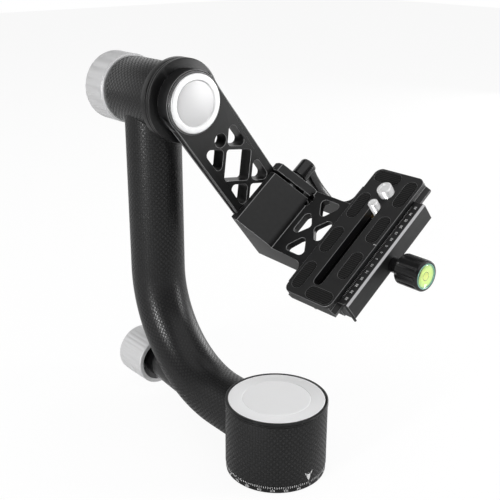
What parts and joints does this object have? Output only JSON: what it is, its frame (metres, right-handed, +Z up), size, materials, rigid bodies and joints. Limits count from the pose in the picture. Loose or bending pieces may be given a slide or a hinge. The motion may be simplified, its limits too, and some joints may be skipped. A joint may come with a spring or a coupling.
{
  "type": "gimbal tripod head",
  "caption": "Side-mount gimbal head: round pan base, bent carbon tube, tilting lattice arm, height bracket and lens plate clamp that balances a long lens on a tripod.",
  "frame": {"origin": "centre of the tripod face, at the mouth of the threaded socket", "axes": "+Z up the pan axis; +X parallel to the tilt axis, from the bent tube towards the lens plate clamp; the arm swings down towards +Y at rest"},
  "size_m": [0.2144, 0.1378, 0.2319],
  "materials": {
    "black_metal": "satin black anodised",
    "silver_metal": "fine satin clear anodised",
    "carbon": "clear-coated twill weave",
    "steel": "ground steel",
    "bright_steel": "plated steel",
    "bronze": "turned",
    "nylon": "moulded nylon",
    "rubber": "ribbed",
    "fluid": "clear vial with coloured fluid"
  },
  "bodies": {
    "base": {"base_plate": "black_metal", "tripod_bush": "steel", "base_screws": "steel", "pan_spindle": "steel", "pan_spacer": "silver_metal", "pan_lower_inner_race": "steel", "pan_upper_inner_race": "steel", "pan_spindle_nut": "steel"},
    "yoke": {"pan_housing": "black_metal", "pan_sleeve": "carbon", "pan_cap": "silver_metal", "j_tube": "carbon", "pan_lock_boss": "black_metal", "pan_lower_outer_race": "steel", "pan_upper_outer_race": "steel", "tilt_housing": "black_metal", "tilt_sleeve": "carbon", "tilt_flange": "black_metal", "tilt_front_outer_race": "steel", "tilt_rear_outer_race": "steel"},
    "lower_pan_cage": {"pan_lower_rollers": "steel"},
    "upper_pan_cage": {"pan_upper_rollers": "steel"},
    "front_tilt_cage": {"tilt_front_rollers": "steel"},
    "rear_tilt_cage": {"tilt_rear_rollers": "steel"},
    "pan_shoe": {"pan_brake_shoe": "nylon"},
    "pan_lock": {"pan_lock_knob": "silver_metal", "pan_lock_screw": "steel"},
    "arm": {"swing_arm": "black_metal", "tilt_spindle": "black_metal", "arm_cap": "silver_metal", "hub_bolts": "steel", "tilt_front_inner_race": "steel", "tilt_rear_inner_race": "steel", "tilt_spacer": "silver_metal", "tilt_spindle_nut": "steel"},
    "tilt_brake": {"tilt_brake_ring": "nylon"},
    "tilt_thrust": {"tilt_washer": "bronze"},
    "tilt_lock": {"tilt_lock_knob": "silver_metal"},
    "platform": {"platform_bracket": "black_metal"},
    "height_thrust": {"height_washer": "nylon"},
    "height_lock": {"height_lever": "black_metal", "height_lock_screw": "steel"},
    "clamp_jaw": {"moving_jaw": "black_metal", "guide_pins": "steel", "jaw_drop_pin": "black_metal"},
    "clamp_drive": {"clamp_knob": "black_metal", "clamp_screw": "steel", "level_bezel": "nylon", "level_vial": "fluid"},
    "lens_plate": {"quick_plate": "black_metal", "grip_pads": "rubber", "plate_end_screws": "steel"},
    "small_clip": {"quarter_screw_clip": "bronze"},
    "small_screw": {"quarter_screw": "bright_steel"},
    "large_screw": {"three_eighth_screw": "bright_steel"}
  },
  "joints": [
    {"name": "pan_turn", "type": "hinge", "parent": "base", "child": "yoke", "pos_m": [0, 0, 0.0224], "axis": [0, 0, 1], "continuous": true},
    {"name": "lower_pan_cage_turn", "type": "hinge", "parent": "base", "child": "lower_pan_cage", "pos_m": [0, 0, 0.013], "axis": [0, 0, 1], "continuous": true},
    {"name": "upper_pan_cage_turn", "type": "hinge", "parent": "base", "child": "upper_pan_cage", "pos_m": [0, 0, 0.0318], "axis": [0, 0, 1], "continuous": true},
    {"name": "pan_shoe_travel", "type": "slide", "parent": "yoke", "child": "pan_shoe", "axis": [-1, 0, 0], "range_m": [0, 0.0015]},
    {"name": "pan_lock_turn", "type": "hinge", "parent": "pan_shoe", "child": "pan_lock", "pos_m": [-0.138, 0, 0.0224], "axis": [-1, 0, 0], "range_deg": [0, 540]},
    {"name": "tilt_swing", "type": "hinge", "parent": "yoke", "child": "arm", "pos_m": [-0.08, 0, 0.2066], "axis": [1, 0, 0], "continuous": true},
    {"name": "front_tilt_cage_turn", "type": "hinge", "parent": "yoke", "child": "front_tilt_cage", "pos_m": [-0.101, 0, 0.2066], "axis": [1, 0, 0], "continuous": true},
    {"name": "rear_tilt_cage_turn", "type": "hinge", "parent": "yoke", "child": "rear_tilt_cage", "pos_m": [-0.1349, 0, 0.2066], "axis": [1, 0, 0], "continuous": true},
    {"name": "tilt_brake_travel", "type": "slide", "parent": "yoke", "child": "tilt_brake", "axis": [-1, 0, 0], "range_m": [0, 0.0015]},
    {"name": "tilt_thrust_travel", "type": "slide", "parent": "arm", "child": "tilt_thrust", "axis": [-1, 0, 0], "range_m": [0, 0.0015]},
    {"name": "tilt_lock_turn", "type": "hinge", "parent": "tilt_thrust", "child": "tilt_lock", "pos_m": [-0.153, 0, 0.2066], "axis": [-1, 0, 0], "range_deg": [0, 540]},
    {"name": "height_slide", "type": "slide", "parent": "arm", "child": "platform", "axis": [0, -0.6115, 0.7912], "range_m": [0, 0.05]},
    {"name": "height_thrust_travel", "type": "slide", "parent": "platform", "child": "height_thrust", "axis": [0, 0.7912, 0.6115], "range_m": [0, 0.00075]},
    {"name": "height_lever_turn", "type": "hinge", "parent": "height_thrust", "child": "height_lock", "pos_m": [-0.066, 0.07494, 0.15052], "axis": [0, 0.7912, 0.6115], "range_deg": [0, 270]},
    {"name": "clamp_jaw_slide", "type": "slide", "parent": "platform", "child": "clamp_jaw", "axis": [1, 0, 0], "range_m": [0, 0.005]},
    {"name": "clamp_knob_turn", "type": "hinge", "parent": "clamp_jaw", "child": "clamp_drive", "pos_m": [0.04, 0.06751, 0.11925], "axis": [1, 0, 0], "range_deg": [0, 1440]},
    {"name": "plate_slide", "type": "slide", "parent": "platform", "child": "lens_plate", "axis": [0, -0.7912, -0.6115], "range_m": [-0.0008, 0.0072]},
    {"name": "small_screw_slide", "type": "slide", "parent": "lens_plate", "child": "small_clip", "axis": [0, -0.7912, -0.6115], "range_m": [0, 0.0575]},
    {"name": "small_screw_turn", "type": "hinge", "parent": "small_clip", "child": "small_screw", "pos_m": [-0.0015, 0.07971, 0.14435], "axis": [0, -0.6115, 0.7912], "continuous": true},
    {"name": "large_screw_turn", "type": "hinge", "parent": "lens_plate", "child": "large_screw", "pos_m": [-0.0015, 0.08921, 0.15169], "axis": [0, -0.6115, 0.7912], "continuous": true}
  ],
  "couplings": [
    {"joint": "lower_pan_cage_turn", "follows": "pan_turn", "ratio": 0.55769},
    {"joint": "upper_pan_cage_turn", "follows": "pan_turn", "ratio": 0.55769},
    {"joint": "front_tilt_cage_turn", "follows": "tilt_swing", "ratio": 0.44231},
    {"joint": "rear_tilt_cage_turn", "follows": "tilt_swing", "ratio": 0.44231},
    {"joint": "pan_shoe_travel", "follows": "pan_lock_turn", "m_per_rad": 0.000159},
    {"joint": "tilt_brake_travel", "follows": "tilt_lock_turn", "m_per_rad": 0.000159},
    {"joint": "tilt_thrust_travel", "follows": "tilt_lock_turn", "m_per_rad": 0.000159},
    {"joint": "height_thrust_travel", "follows": "height_lever_turn", "m_per_rad": 0.000159},
    {"joint": "clamp_jaw_slide", "follows": "clamp_knob_turn", "m_per_rad": 0.0001989}
  ]
}
